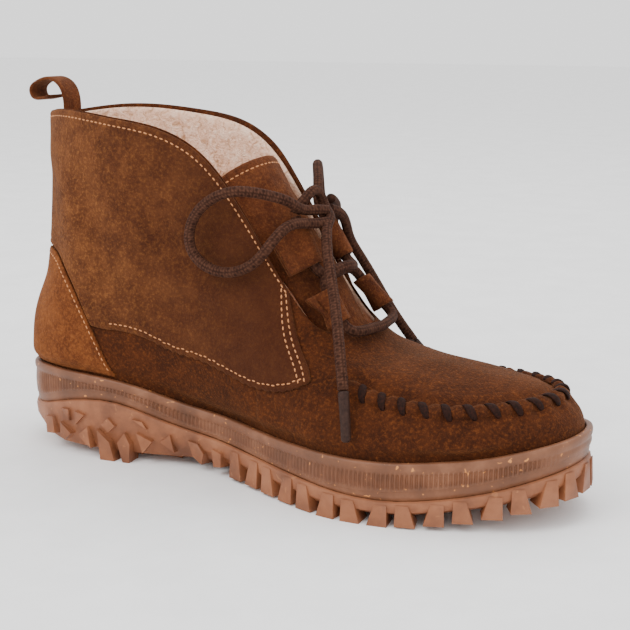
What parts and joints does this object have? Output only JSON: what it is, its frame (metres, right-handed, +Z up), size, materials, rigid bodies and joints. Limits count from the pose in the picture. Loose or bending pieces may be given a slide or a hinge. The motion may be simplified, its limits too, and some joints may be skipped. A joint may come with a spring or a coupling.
{
  "type": "moccasin boot",
  "caption": "Ankle-high moccasin boot in napped leather with a laced throat, a gathered apron seam and a lugged rubber sole.",
  "frame": {"origin": "on the ground under the middle of the box of the solid pieces", "axes": "+X runs from heel to toe, +Z up, the outer side of the foot faces -Y"},
  "size_m": [0.2792, 0.1031, 0.1728],
  "materials": {
    "tread_rubber": "matt pinkish gum rubber",
    "band_rubber": "satin brown gum rubber with light flecks",
    "footbed_felt": "cream fleece",
    "suede": "napped chestnut suede",
    "suede_dark": "napped chestnut suede, darker",
    "lace_cord": "waxed round braid",
    "tip_plastic": "dull tube over braid"
  },
  "bodies": {
    "root": {"outsole": "tread_rubber", "midsole": "band_rubber", "insole": "footbed_felt", "upper": "suede", "quarter_panel": "suede", "heel_counter": "suede", "apron_seam": "suede", "tongue": "suede_dark", "pull_loop": "suede_dark", "lace_tab_1": "suede", "lace_tab_2": "suede", "lace_tab_3": "suede", "lace_tab_4": "suede", "lace_crossings": "lace_cord", "lace_knot": "lace_cord", "lace_loop_near": "lace_cord", "lace_loop_far": "lace_cord", "lace_end_near": "lace_cord", "lace_end_far": "lace_cord", "lace_tip_near": "tip_plastic", "lace_tip_far": "tip_plastic"}
  },
  "joints": []
}
